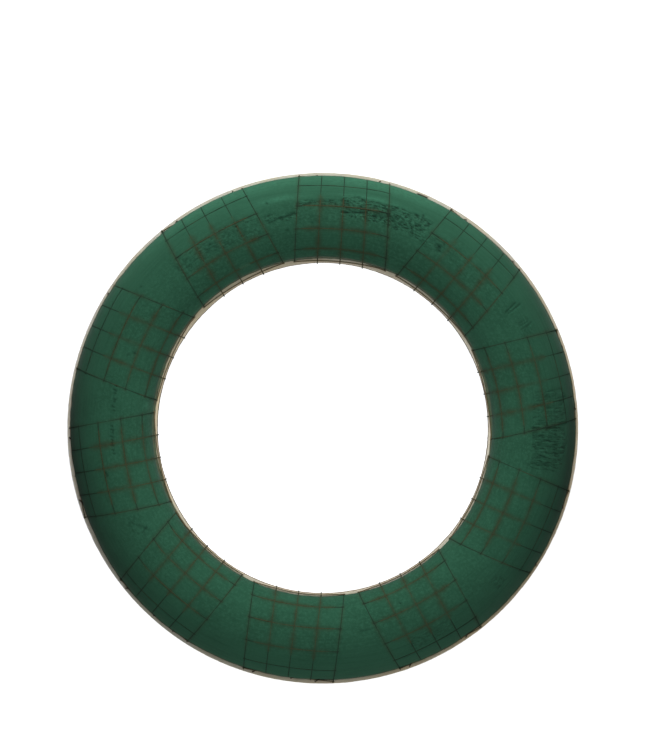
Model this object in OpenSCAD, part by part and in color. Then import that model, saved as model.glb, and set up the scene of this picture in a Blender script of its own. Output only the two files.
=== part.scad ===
// Wreath frame: a ring of wet floral foam on a flat fibreboard ring.
// Ten patches of welded wire mesh are laid over the foam and stapled to the board at both rims.
// The ring lies on its back: the flat back of the board is at z = 0 and the foam crowns upwards.
// Millimetres throughout.

/* [Board] */
// Outer diameter of the fibreboard ring
board_d = 575; // [565:1:590]
// Diameter of the open middle
hole_d = 372; // [360:1:374]
// Thickness of the board
board_t = 10; // [9:0.5:14]
// Bevel along all four edges of the board
edge_bevel = 0.6; // [0.4:0.1:0.8]

/* [Foam] */
// Radius of the foam's ridge line
ridge_r = 236.5; // [236:0.5:238]
// Half the width of the foam at its foot
foam_half_w = 45; // [43:0.5:45]
// Height of the foam's crown above the board
foam_h = 34; // [30:0.5:38]
// How far the foam was set down off the board's centre
foam_shift = [-0.6, 1.9]; // [-2:0.1:2]
// Thickness of the glue under the foam
glue_t = 0.8; // [0.4:0.1:1.2]
// How far the glue squeezed out past the foam's foot
glue_squeeze = 1.9; // [1.6:0.1:2.4]
// How far the glue was laid off the board's centre
glue_shift = [-0.4, 0.9]; // [-1:0.1:1]

/* [Wire mesh] */
// Wire to wire distance of the welded mesh, one inch
pitch = 25.4; // [24:0.1:26]
// Wire diameter
wire_d = 1.1; // [0.9:0.1:1.2]
// Long wires in one patch, which run across the foam
long_wires = 5; // [3:2:5]
// Length of the wire tails bedded into the back of the board
tail_len = 13; // [10:1:16]

/* [Staples] */
// Width of a staple's crown
staple_w = 8; // [6:0.5:9]
// Width of the flat staple wire
staple_wire = 1.2; // [0.8:0.1:1.4]
// Thickness of the flat staple wire
staple_t = 0.6; // [0.4:0.1:0.6]
// How deep the legs go into the board
leg_depth = 7; // [5:0.5:8]

/* [Hidden] */
$fn = 96;
PATCHES = 10;
CELLS = 5;                  // squares along each long wire
function patch_name(k) = str("mesh_patch_", k < 9 ? "0" : "", k + 1);

board_r = board_d / 2;
hole_r = hole_d / 2;
wire_r = wire_d / 2;

// The first patch is centred this far clockwise of the top, and the rest follow at an even step
// but for the few degrees that each hand-laid patch strays and leans.
FIRST_PATCH = 5.5;
STRAY = [0, -0.1, 0.7, 1.7, 2.5, 2.4, 1.5, 1.8, 0.6, 1.5];
LEAN = [2.4, 1.9, 1.9, 1.9, 0.5, 0.8, 3.5, -0.3, 2.2, 0];

WIRE_SIDES = 6;
WELD_GAP = wire_r;          // axis to axis distance where two wires are welded
STUB = 1.5;                 // wire left past the last weld
BEND = 0.8;                 // corner cut where a tail turns over the board's edge
FOOT_RISE = 3;              // arc over which a long wire climbs from the board onto the foam
FIRST_ARC = 2.1;            // arc already climbed where the equal steps begin
SETTLE = 0.5;               // share of the gap between wire and foot that the bend takes up

RIM_KEEP = 1.5;             // every wire stays this far inside the board's outer edge
INNER_KEEP = 1;             // the innermost cross wire stays this far outside the open middle
CHORD_IN = 6.3;             // the outermost cross wire's chord starts this far inside the edge

// The chord is then pushed in towards the foot: how far inside the edge it has to be, from the
// first long wire (0), whose corner was left out on the rim, to the last (1).
PUSHED_IN = [[0, 1.6], [0.25, 4.9], [0.5, 6.3], [0.75, 6.1], [1, 3.9]];

FRONT_STAPLES = [0.17, 0.44, 0.87]; // places along that wire, as shares of its length
FRONT_SLANT = 55;           // slant of these staples from the radius
STAPLE_KEEP = 3.4;          // a staple's middle stays this far inside the board's edge
MISSED_AT = 23.2;           // one wide staple missed the mesh, this far clockwise of the top
MISSED_W = 12;
BACK_STAPLE_IN = 7;         // distance of the back staples from the board's inner edge
GROOVE_GAP = 0.1;           // clearance around a tail in its groove
GROOVE_END = 0.5;           // clearance past a tail's end

// ---- where each patch lies -------------------------------------------------------------------

function turn_of(k) = 90 - FIRST_PATCH - 360 / PATCHES * k - STRAY[k] + LEAN[k];
function lateral(k, j) = ((long_wires - 1) / 2 - j) * pitch - ridge_r * sin(LEAN[k]);

// The board's centre in the frame of patch k, whose origin is the foam's centre
function board_centre(k) =
    let (t = turn_of(k))
    [-foam_shift.x * cos(t) - foam_shift.y * sin(t),
     foam_shift.x * sin(t) - foam_shift.y * cos(t)];

// x of a circle about the board's centre, where a wire at lateral place y crosses it
function on_board_circle(k, r, y) =
    let (c = board_centre(k))
    c.x + sqrt(r * r - (y - c.y) * (y - c.y));

// ---- the foam's profile as the wires feel it ----------------------------------------------------

arc_a = foam_half_w + wire_r;
arc_b = foam_h;
arc_z = board_t + wire_r;
ARC_STEPS = 60;

function arc_point(t) = [ridge_r + arc_a * cos(t), arc_z + arc_b * sin(t)];
ARC_TABLE = [for (i = 0, s = 0; i <= ARC_STEPS;
                  s = s + norm(arc_point(180 * (i + 1) / ARC_STEPS) - arc_point(180 * i / ARC_STEPS)),
                  i = i + 1) [s, 180 * i / ARC_STEPS]];
arc_len = ARC_TABLE[ARC_STEPS][0];

// Distance from the foam's centre, and height, at an arc length from the outer foot
function on_profile(s) = s > arc_len
    ? [ridge_r - arc_a - (s - arc_len), arc_z]
    : arc_point(lookup(s, ARC_TABLE));

// Outward normal of the profile there, in the plane of the long wire
function normal_at(s) =
    let (t = lookup(s, ARC_TABLE), n = [cos(t) / arc_a, sin(t) / arc_b])
    s > arc_len ? [0, 1] : n / norm(n);

// ---- nodes of the mesh --------------------------------------------------------------------------

// x of the outermost cross wire's chord at lateral place y, kept on the board
function chord_x(k, y, keep = RIM_KEEP) =
    min(board_r - CHORD_IN + board_centre(k).x, on_board_circle(k, board_r - keep, y));

// x of the outermost cross wire itself, at a share f of its length
function outer_x(k, f) =
    chord_x(k, lateral(k, f * (long_wires - 1)), lookup(f, PUSHED_IN));

function first_arc(k, y) =
    FIRST_ARC + SETTLE * (sqrt(pow(ridge_r + arc_a, 2) - y * y) - chord_x(k, y));

// A point in a long wire's plane, [x, z], at arc length s
function wire_point(y, s) =
    let (p = on_profile(s))
    [sqrt(p[0] * p[0] - y * y), p[1]];

function inner_x(k, y) = on_board_circle(k, hole_r, y);

// Crossing i, j of patch k as [x, y, z], with i counted inwards from the outer rim
function crossing(k, i, j) =
    let (y = lateral(k, j), s = first_arc(k, y) + i * pitch, p = wire_point(y, s))
    i == 0 ? [outer_x(k, j / (long_wires - 1)), y, arc_z]
           : [max(p[0], inner_x(k, y) + INNER_KEEP), y, p[1]];

// The cross wire lies outside the long wires
function cross_point(k, i, j) =
    let (y = lateral(k, j), n = i == 0 ? [0, 1] : normal_at(first_arc(k, y) + i * pitch))
    crossing(k, i, j) + WELD_GAP * [n[0], 0, n[1]];

// ---- tubes ---------------------------------------------------------------------------------------

// Skins a list of rings that all have WIRE_SIDES points
module tube(rings) {
    m = WIRE_SIDES;
    last = (len(rings) - 1) * m;
    polyhedron(
        points = [for (r = rings) each r],
        faces = concat(
            [[for (a = [m - 1 : -1 : 0]) a]],
            [for (i = [0 : len(rings) - 2], a = [0 : m - 1])
                let (p = i * m + a, q = i * m + (a + 1) % m)
                [p, q, q + m, p + m]],
            [[for (a = [0 : m - 1]) last + a]]));
}

// The ring at point i of a path in the plane y = const, mitred between its two neighbours
function mitred_ring(path, y, i) =
    let (here = path[i],
         back = path[max(i - 1, 0)],
         next = path[min(i + 1, len(path) - 1)],
         u = here == back ? (next - here) / norm(next - here) : (here - back) / norm(here - back),
         v = next == here ? u : (next - here) / norm(next - here),
         d = (u + v) / norm(u + v),
         n = [-d[1], d[0]] / (d * u))
    [for (a = [0 : WIRE_SIDES - 1])
        let (c = wire_r * cos(360 * a / WIRE_SIDES), e = wire_r * sin(360 * a / WIRE_SIDES))
        [here[0] + c * n[0], y + e, here[1] + c * n[1]]];

module long_wire(path, y) {
    tube([for (i = [0 : len(path) - 1]) mitred_ring(path, y, i)]);
}

module cross_wire(points) {
    first = points[0];
    end = points[len(points) - 1];
    centres = concat([first + [0, STUB, 0]], points, [end - [0, STUB, 0]]);
    tube([for (c = centres)
        [for (a = [0 : WIRE_SIDES - 1])
            let (t = 360 * a / WIRE_SIDES)
            c + wire_r * [cos(t), 0, -sin(t)]]]);
}

// ---- long wire paths -------------------------------------------------------------------------------

ARC_SUBSTEPS = 2;           // straight stretches in one cell of a long wire
tail_z = staple_t + GROOVE_GAP + wire_r;

function is_tail(j) = j > 0 && j < long_wires - 1;

// From the last crossing over the inner edge of the board, down its wall and outwards under its back
function tail_path(k, y) =
    let (wall = inner_x(k, y) - wire_r)
    [[wall + BEND, arc_z],
     [wall, arc_z - BEND],
     [wall, tail_z + BEND],
     [wall + BEND, tail_z],
     [wall + wire_r + tail_len, tail_z]];

function long_path(k, j) =
    let (y = lateral(k, j),
         s0 = first_arc(k, y),
         start = crossing(k, 0, j),
         end = crossing(k, CELLS, j))
    concat(
        [[start.x + STUB, arc_z], [start.x, arc_z], wire_point(y, FOOT_RISE)],
        [for (i = [1 : CELLS * ARC_SUBSTEPS - 1]) wire_point(y, s0 + i * pitch / ARC_SUBSTEPS)],
        [[end.x, end.z]],
        is_tail(j) ? tail_path(k, y) : [[end.x, end.z] + STUB * (end.z > arc_z ? [0, -1] : [-1, 0])]);

module in_patch_frame(k) {
    translate([foam_shift.x, foam_shift.y, 0])
        rotate(turn_of(k))
            children();
}

// ---- sub-parts ----------------------------------------------------------------------------------------

// A U of flat wire, crown along x centred on the origin at z = 0, legs down
module staple(leg, width = staple_w) {
    translate([-width / 2, -staple_wire / 2, 0])
        cube([width, staple_wire, staple_t]);
    for (side = [-1, 1])
        translate([side * (width - staple_t) / 2 - staple_t / 2, -staple_wire / 2, -leg])
            cube([staple_t, staple_wire, leg + staple_t]);
}

// The front staples straddle the outermost cross wire
module front_staples() {
    crown_z = arc_z + WELD_GAP + wire_r;
    for (k = [0 : PATCHES - 1], f = FRONT_STAPLES) {
        y = lateral(k, f * (long_wires - 1));
        x = min(outer_x(k, f), on_board_circle(k, board_r - STAPLE_KEEP, y));
        in_patch_frame(k)
            translate([x, y, crown_z])
                rotate(-FRONT_SLANT)
                    staple(crown_z - board_t + leg_depth);
    }
    rotate(-MISSED_AT)
        translate([0, board_r - STAPLE_KEEP, board_t])
            staple(leg_depth, MISSED_W);
}

// The back staples hold the tails, with their crowns sunk level with the board's back
module back_staples() {
    for (k = [0 : PATCHES - 1], j = [1 : long_wires - 2]) {
        y = lateral(k, j);
        in_patch_frame(k)
            translate([inner_x(k, y) + BACK_STAPLE_IN, y, staple_t])
                rotate([180, 0, 90])
                    staple(leg_depth);
    }
}

// Grooves that the tails press into the back of the board
module tail_grooves() {
    for (k = [0 : PATCHES - 1], j = [1 : long_wires - 2]) {
        y = lateral(k, j);
        in_patch_frame(k)
            translate([inner_x(k, y) - wire_d, y - wire_r - GROOVE_GAP, -1])
                cube([wire_d + tail_len + GROOVE_END,
                      wire_d + 2 * GROOVE_GAP,
                      1 + tail_z + wire_r + GROOVE_GAP]);
    }
}

module backing_board() {
    b = edge_bevel;
    color([0.78, 0.73, 0.62])
        difference() {
            rotate_extrude()
                polygon([[hole_r + b, 0], [board_r - b, 0], [board_r, b], [board_r, board_t - b],
                         [board_r - b, board_t], [hole_r + b, board_t], [hole_r, board_t - b],
                         [hole_r, b]]);
            tail_grooves();
            front_staples();
            back_staples();
        }
}

module glue_layer() {
    w = foam_half_w + glue_squeeze;
    color([0.27, 0.19, 0.10])
        difference() {
            translate([glue_shift.x, glue_shift.y, board_t])
                rotate_extrude()
                    translate([ridge_r - w, 0])
                        square([2 * w, glue_t]);
            front_staples();
        }
}

module foam_ring() {
    lift = asin(glue_t / foam_h);
    steps = 48;
    color([0.14, 0.36, 0.27])
        difference() {
            translate([foam_shift.x, foam_shift.y, board_t])
                rotate_extrude()
                    polygon([for (i = [0 : steps])
                        let (t = lift + (180 - 2 * lift) * i / steps)
                        [ridge_r + foam_half_w * cos(t), foam_h * sin(t)]]);
            front_staples();
        }
}

module mesh_patch(k) {
    color([0.25, 0.20, 0.15])
        in_patch_frame(k) {
            for (j = [0 : long_wires - 1])
                long_wire(long_path(k, j), lateral(k, j));
            for (i = [0 : CELLS])
                cross_wire([for (j = [0 : long_wires - 1]) cross_point(k, i, j)]);
        }
}

module staples_front() {
    color([0.45, 0.42, 0.38])
        front_staples();
}

module staples_back() {
    color([0.45, 0.42, 0.38])
        back_staples();
}

backing_board();
glue_layer();
foam_ring();
for (k = [0 : PATCHES - 1])
    mesh_patch(k);
staples_front();
staples_back();
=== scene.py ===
from math import asin, cos, pi, radians, sin, sqrt

import bpy
import numpy as np
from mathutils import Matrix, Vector


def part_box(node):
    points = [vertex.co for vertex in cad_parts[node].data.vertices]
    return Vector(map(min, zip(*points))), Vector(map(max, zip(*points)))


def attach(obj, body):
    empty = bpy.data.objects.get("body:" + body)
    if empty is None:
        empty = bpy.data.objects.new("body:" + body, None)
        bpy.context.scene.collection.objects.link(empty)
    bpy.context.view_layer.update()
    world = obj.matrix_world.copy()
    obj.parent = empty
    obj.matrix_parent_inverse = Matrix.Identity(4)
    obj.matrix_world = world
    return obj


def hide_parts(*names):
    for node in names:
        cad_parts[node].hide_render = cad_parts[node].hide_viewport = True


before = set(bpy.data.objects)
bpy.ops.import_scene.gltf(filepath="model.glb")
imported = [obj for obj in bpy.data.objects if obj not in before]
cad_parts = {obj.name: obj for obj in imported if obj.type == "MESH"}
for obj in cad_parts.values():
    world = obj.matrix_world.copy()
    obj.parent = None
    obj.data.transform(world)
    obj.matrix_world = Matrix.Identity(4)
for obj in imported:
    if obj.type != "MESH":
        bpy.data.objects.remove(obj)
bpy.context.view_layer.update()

# Wreath frame: a foam ring on a fibreboard ring, under ten patches of welded mesh.
# Lengths are in millimetres until a mesh is made. +Y is the top of the wreath, +Z its front, and
# "clockwise" angles count from the top as seen from the front.
MM = 0.001

# ---- driving sizes, as in the frame --------------------------------------------------------------

board_low, board_high = [np.array(corner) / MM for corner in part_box("backing_board")]
foam_low, foam_high = [np.array(corner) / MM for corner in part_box("foam_ring")]
BOARD_R = (board_high[0] - board_low[0]) / 2
BOARD_T = board_high[2]
HOLE_R = 186.0
FOAM_CENTRE = np.array([-0.6, 1.9])
FOAM_HALF = 45.0
RIDGE_R = (foam_high[0] - foam_low[0]) / 2 - FOAM_HALF
FOAM_H = foam_high[2] - BOARD_T
GLUE_T = 0.8
GLUE_SQUEEZE = 1.9
GLUE_CENTRE = np.array([-0.4, 0.9])
# How much further than the squeeze the bead runs out on each side: clockwise angle, mm
BEAD_OUT = [(0, -0.6), (36, -0.5), (60, 0.7), (80, 1.6), (100, 1.2), (120, 2.0), (145, 1.2), (170, 0.8),
            (205, 0.3), (228, 0.8), (245, -0.7), (275, 0.4), (300, 0.1), (325, -0.8), (348, -0.9)]
BEAD_IN = [(0, -0.1), (28, -0.9), (50, 0.2), (66, 0.4), (80, 1.5), (100, 0.3), (125, -0.9), (150, -0.9),
           (172, 0), (200, -0.5), (225, 0.4), (245, 1.3), (270, 1.2), (288, 0.8), (302, -0.5), (325, -1.3)]

PATCHES = 10
PITCH = 25.4
LONG_WIRES = 5
CELLS = 5
WIRE_R = 0.55
TAIL_LEN = 13.0
STAPLE_W = 8.0
STAPLE_WIRE = 1.2
STAPLE_T = 0.6
STAPLE_EASE = 0.12          # how much of the flat wire's corners is rounded off
LEG_DEPTH = 7.0

FIRST_PATCH = 5.5
STRAY = [0, -0.1, 0.7, 1.7, 2.5, 2.4, 1.5, 1.8, 0.6, 1.5]
LEAN = [2.4, 1.9, 1.9, 1.9, 0.5, 0.8, 3.5, -0.3, 2.2, 0]
STUB = 1.5
BEND = 0.8
FIRST_ARC = 2.1
SETTLE = 0.5
RIM_KEEP = 1.5
INNER_KEEP = 1.0
CHORD_IN = 6.3
PUSHED_IN = [(0, 1.6), (0.25, 4.9), (0.5, 6.3), (0.75, 6.1), (1, 3.9)]
FRONT_STAPLES = [0.17, 0.44, 0.87]
FRONT_SLANT = 55
STAPLE_KEEP = 3.4
MISSED_AT = 23.2
MISSED_W = 12.0
BACK_STAPLE_IN = 7.0
GROOVE_GAP = 0.1
GROOVE_END = 0.5

# The visible foam stands this much proud of the frame's foam, so the mesh is half bedded in it
SWELL = 0.5
# The foam's outer foot spreads to this much short of the glue's edge, from this arc up
FOOT_KEEP = 0.7
FOOT_REACH = 16.0


# ---- noise ---------------------------------------------------------------------------------------

def smooth(x):
    x = np.clip(x, 0, 1)
    return x * x * (3 - 2 * x)


def ring_noise(turn, across, cells_round, cells_across, seed):
    """Smooth noise in -1..1 at turn in 0..1, where it closes on itself, and across in 0..1."""
    rows = np.random.default_rng(seed).uniform(-1, 1, (cells_round, cells_across + 2))
    u = np.mod(turn, 1) * cells_round
    v = np.clip(across, 0, 1) * cells_across
    i, j = u.astype(int) % cells_round, v.astype(int)
    a, b = smooth(u - np.floor(u)), smooth(v - np.floor(v))
    k = (i + 1) % cells_round
    near = rows[i, j] * (1 - b) + rows[i, j + 1] * b
    far = rows[k, j] * (1 - b) + rows[k, j + 1] * b
    return near * (1 - a) + far * a


def line_noise(x, step, seed):
    """Smooth noise in -1..1 along a line, with a new value every step."""
    values = np.random.default_rng(seed).uniform(-1, 1, 400)
    u = np.asarray(x, dtype=float) / step + 20
    i = u.astype(int)
    a = smooth(u - i)
    return values[i] * (1 - a) + values[i + 1] * a


# ---- the foam's profile, as the wires and the visible foam follow it -----------------------------

def ellipse(half_width, height, base_z, t):
    """Distance from the foam's centre, and height, at angle t of the profile."""
    return RIDGE_R + half_width * np.cos(t), base_z + height * np.sin(t)


ARC_A = FOAM_HALF + WIRE_R
ARC_B = FOAM_H
ARC_Z = BOARD_T + WIRE_R
arc_t = np.linspace(0, pi, 721)
arc_x, arc_y = ellipse(ARC_A, ARC_B, ARC_Z, arc_t)
arc_s = np.concatenate([[0], np.cumsum(np.hypot(np.diff(arc_x), np.diff(arc_y)))])
ARC_LEN = arc_s[-1]


def profile_angle(s):
    return np.interp(s, arc_s, arc_t)


def profile_normal(t, half_width=ARC_A, height=ARC_B):
    n = np.stack([np.cos(t) / half_width, np.sin(t) / height], axis=-1)
    return n / np.linalg.norm(n, axis=-1, keepdims=True)


# ---- where each patch lies, as in the frame ------------------------------------------------------

def turn_of(k):
    return radians(90 - FIRST_PATCH - 360 / PATCHES * k - STRAY[k] + LEAN[k])


def lateral(k, j):
    """Place of long wire j across patch k; j may be a fraction."""
    return ((LONG_WIRES - 1) / 2 - j) * PITCH - RIDGE_R * sin(radians(LEAN[k]))


def board_centre(k):
    t = turn_of(k)
    sx, sy = FOAM_CENTRE
    return -sx * cos(t) - sy * sin(t), sx * sin(t) - sy * cos(t)


def on_board_circle(k, r, y):
    cx, cy = board_centre(k)
    return cx + np.sqrt(r * r - (y - cy) ** 2)


def chord_x(k, y, keep=RIM_KEEP):
    return np.minimum(BOARD_R - CHORD_IN + board_centre(k)[0], on_board_circle(k, BOARD_R - keep, y))


def outer_x(k, f):
    keep = np.interp(f, *zip(*PUSHED_IN))
    return chord_x(k, lateral(k, f * (LONG_WIRES - 1)), keep)


def first_arc(k, y):
    return FIRST_ARC + SETTLE * (np.sqrt((RIDGE_R + ARC_A) ** 2 - y * y) - chord_x(k, y))


def inner_x(k, y):
    return on_board_circle(k, HOLE_R, y)


def to_world(k, points):
    """Points in the frame of patch k, as an array of x, y, z, to the part's own frame."""
    t = turn_of(k)
    p = np.asarray(points, dtype=float)
    x = p[:, 0] * cos(t) - p[:, 1] * sin(t) + FOAM_CENTRE[0]
    y = p[:, 0] * sin(t) + p[:, 1] * cos(t) + FOAM_CENTRE[1]
    return np.stack([x, y, p[:, 2]], axis=1)


# ---- how deep each wire lies in the foam ---------------------------------------------------------
# 0 is a wire lying bare on the surface and 1 one that the foam has closed over.

# Depth of each patch's middle wires over the outer flank, where the foam is firmest
FLANK_DEPTH = [0.25, 0.3, 0.5, 0.4, 0.2, 0.25, 0.2, 0.15, 0.3, 0.3]
CROSS_DEPTH = [0.0, 0.35, 0.55, 0.65, 0.6, 0.3]
# How far the rust of each cross wire has crept into the foam
CROSS_STAIN = [0.0, 0.04, 0.42, 0.6, 0.6, 0.0]
# Stretches of cross wire that lie bare: patch, cross wire, and shares of its length from and to
BARE = [(0, 2, 0.5, 1), (0, 3, 0.87, 1), (4, 1, 0, 1), (5, 3, 0.77, 1), (6, 2, 0.25, 0.72),
        (7, 2, 0, 1), (8, 2, 0.1, 0.9), (9, 2, 0.75, 1), (9, 3, 0.77, 1)]


def depth_of_long(k, j, s):
    """The two edge wires of a patch stay bare; the others dive under past the outer flank."""
    wander = 0.18 * line_noise(s, 11, 100 * k + j)
    if j in (0, LONG_WIRES - 1):
        return np.clip(0.2 + 1.3 * wander, 0, 1)
    return np.clip(FLANK_DEPTH[k] + wander + 0.36 * dived(k, j, s), 0, 1)


def dived(k, j, s):
    """0 where a middle wire runs over the outer flank, 1 where it has gone under."""
    start = 38 + 5 * line_noise(np.array([7.0 * j]), 5, 900 + k)[0]
    return smooth((s - start) / 9)


def rust_of_long(k, j, s):
    """0 where green dust covers the wire and 1 where it is brown with rust."""
    if j in (0, LONG_WIRES - 1):
        brown = 0.2 * smooth((s - 30) / 12) + 0.3 * line_noise(s, 17, 600 + 10 * k + j)
        return np.clip(brown, 0, 1)
    return 0.1 + 0.8 * dived(k, j, s)


def stain_of_long(k, j, s):
    if j in (0, LONG_WIRES - 1):
        return 0.24 + 0.25 * line_noise(s, 23, 700 + 10 * k + j)
    return 0.08 + 0.5 * dived(k, j, s) * (1 + 0.35 * line_noise(s, 13, 300 + 10 * k + j))


def near_ends(f):
    """1 where a cross wire nears the edge wires of its patch, which keep it out of the foam."""
    return smooth(np.abs(2 * f - 1) * 4 - 2.8)


def depth_of_cross(k, i, f):
    """f runs from 0 at a patch's first long wire to 1 at its last; the ends stay bare."""
    f = np.asarray(f, dtype=float)
    if not 0 < i < CELLS:
        return np.zeros_like(f)
    depth = CROSS_DEPTH[i] + 0.25 * line_noise(f * 100, 11, 5000 + 100 * k + i)
    if i > 1:
        depth = depth - 0.4 * smooth(np.abs(2 * f - 1) * 3.2 - 2.2)
    for patch, wire, low, high in BARE:
        if (patch, wire) == (k, i):
            depth = depth - smooth(8 * (f - low) + 0.5) * smooth(8 * (high - f) + 0.5)
    return np.clip(depth, 0, 1)


def swelling(turn, across):
    """Slow rise and fall of the visible foam in mm, at turn round the ring and across its profile."""
    high = 0.2 * ring_noise(turn, across, 26, 4, 1) + 0.12 * ring_noise(turn, across, 90, 12, 2)
    foot = smooth(np.minimum(across, 1 - across) * 40)
    return (np.minimum(high, 0.2) - 0.15) * foot


def bead_run(turn, outside):
    """How far in mm past the even squeeze the glue has run, at turn round the ring."""
    angles, runs = zip(*(BEAD_OUT if outside else BEAD_IN))
    run = np.interp((90 - 360 * turn) % 360, angles, runs, period=360)
    run = run + 0.3 * ring_noise(turn, np.full_like(turn, 0.5), 210, 1, 51 + outside)
    return run + 0.15 * ring_noise(turn, np.full_like(turn, 0.5), 60, 1, 53 + outside)


def bulge(turn, s):
    """How far in mm the foam's outer foot spreads over the glue, at turn round the ring and arc s."""
    angle = 2 * pi * turn
    dx, dy = GLUE_CENTRE - FOAM_CENTRE
    off_centre = dx * np.cos(angle) + dy * np.sin(angle)
    spread = GLUE_SQUEEZE - SWELL - FOOT_KEEP + bead_run(turn, True) + off_centre
    return np.maximum(spread, 0) * np.clip(1 - s / FOOT_REACH, 0, 1) ** 2


def sink(k, y, s, depth):
    """Height of a wire's axis over its place in the frame: a bare wire shows a sliver, a deep one none."""
    across = s / ARC_LEN
    turn = (turn_of(k) + np.arctan2(y, RIDGE_R + ARC_A * np.cos(profile_angle(s)))) / (2 * pi)
    surface = SWELL - WIRE_R + swelling(turn, across) + bulge(turn, s)
    return surface - (0.36 + 0.44 * depth) * smooth(np.minimum(across, 1 - across) * 25)


# ---- meshes --------------------------------------------------------------------------------------

def piece(name, points, faces, material, sharp_angle=None):
    mesh = bpy.data.meshes.new(name)
    mesh.from_pydata(np.asarray(points) * MM, [], faces)
    mesh.materials.append(material)
    mesh.shade_smooth()
    if sharp_angle is not None:
        mesh.set_sharp_from_angle(angle=radians(sharp_angle))
    mesh.update()
    obj = bpy.data.objects.new(name, mesh)
    bpy.context.scene.collection.objects.link(obj)
    return obj


def dress(obj, slot, *nodes):
    """Puts a piece on the body and hides the frame's nodes it stands for. The slot is not used."""
    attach(obj, "root")
    if nodes:
        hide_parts(*nodes)


def add_values(obj, name, values):
    attribute = obj.data.attributes.new(name, "FLOAT", "POINT")
    attribute.data.foreach_set("value", np.asarray(values, dtype=np.float32).ravel())


def closed_rings(count, sides):
    """Faces of a skin over count rings of sides points, closed both ways round."""
    i, a = np.meshgrid(np.arange(count), np.arange(sides), indexing="ij")
    i2, a2 = (i + 1) % count, (a + 1) % sides
    quad = np.stack([i * sides + a, i * sides + a2, i2 * sides + a2, i2 * sides + a], axis=-1)
    return quad.reshape(-1, 4)


def tube(path, radius):
    """A capped round tube along a path in space, as points and faces."""
    sides = WIRE_SIDES
    path = np.asarray(path, dtype=float)
    step = np.gradient(path, axis=0)
    along = step / np.linalg.norm(step, axis=1, keepdims=True)
    up = np.tile([0.0, 0.0, 1.0], (len(path), 1))
    flat = np.abs(along[:, 2]) > 0.9
    axis = np.cross(along, up)
    if flat.any():
        steady = np.cross(along[~flat][0] if (~flat).any() else [1.0, 0, 0], [0, 0, 1.0])
        axis[flat] = steady - along[flat] * (along[flat] @ steady)[:, None]
    axis /= np.linalg.norm(axis, axis=1, keepdims=True)
    other = np.cross(axis, along)
    t = 2 * pi * np.arange(sides) / sides
    ring = np.cos(t)[None, :, None] * axis[:, None, :] + np.sin(t)[None, :, None] * other[:, None, :]
    points = path[:, None, :] + ring * radius
    last = (len(path) - 1) * sides
    faces = [[i * sides + a, i * sides + (a + 1) % sides, (i + 1) * sides + (a + 1) % sides,
              (i + 1) * sides + a] for i in range(len(path) - 1) for a in range(sides)]
    faces.append(list(range(sides))[::-1])
    faces.append([last + a for a in range(sides)])
    return points.reshape(-1, 3), faces


def joined(parts):
    """Several (points, faces) pairs as one."""
    points, faces, start = [], [], 0
    for some_points, some_faces in parts:
        points.append(some_points)
        faces += [[start + v for v in face] for face in some_faces]
        start += len(some_points)
    return np.concatenate(points), faces


# ---- materials -----------------------------------------------------------------------------------

def linear(red, green, blue):
    """sRGB values of 0 to 255 as the linear colour that a shader takes."""
    c = np.array([red, green, blue]) / 255
    return (*np.where(c <= 0.04045, c / 12.92, ((c + 0.055) / 1.055) ** 2.4), 1.0)


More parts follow.
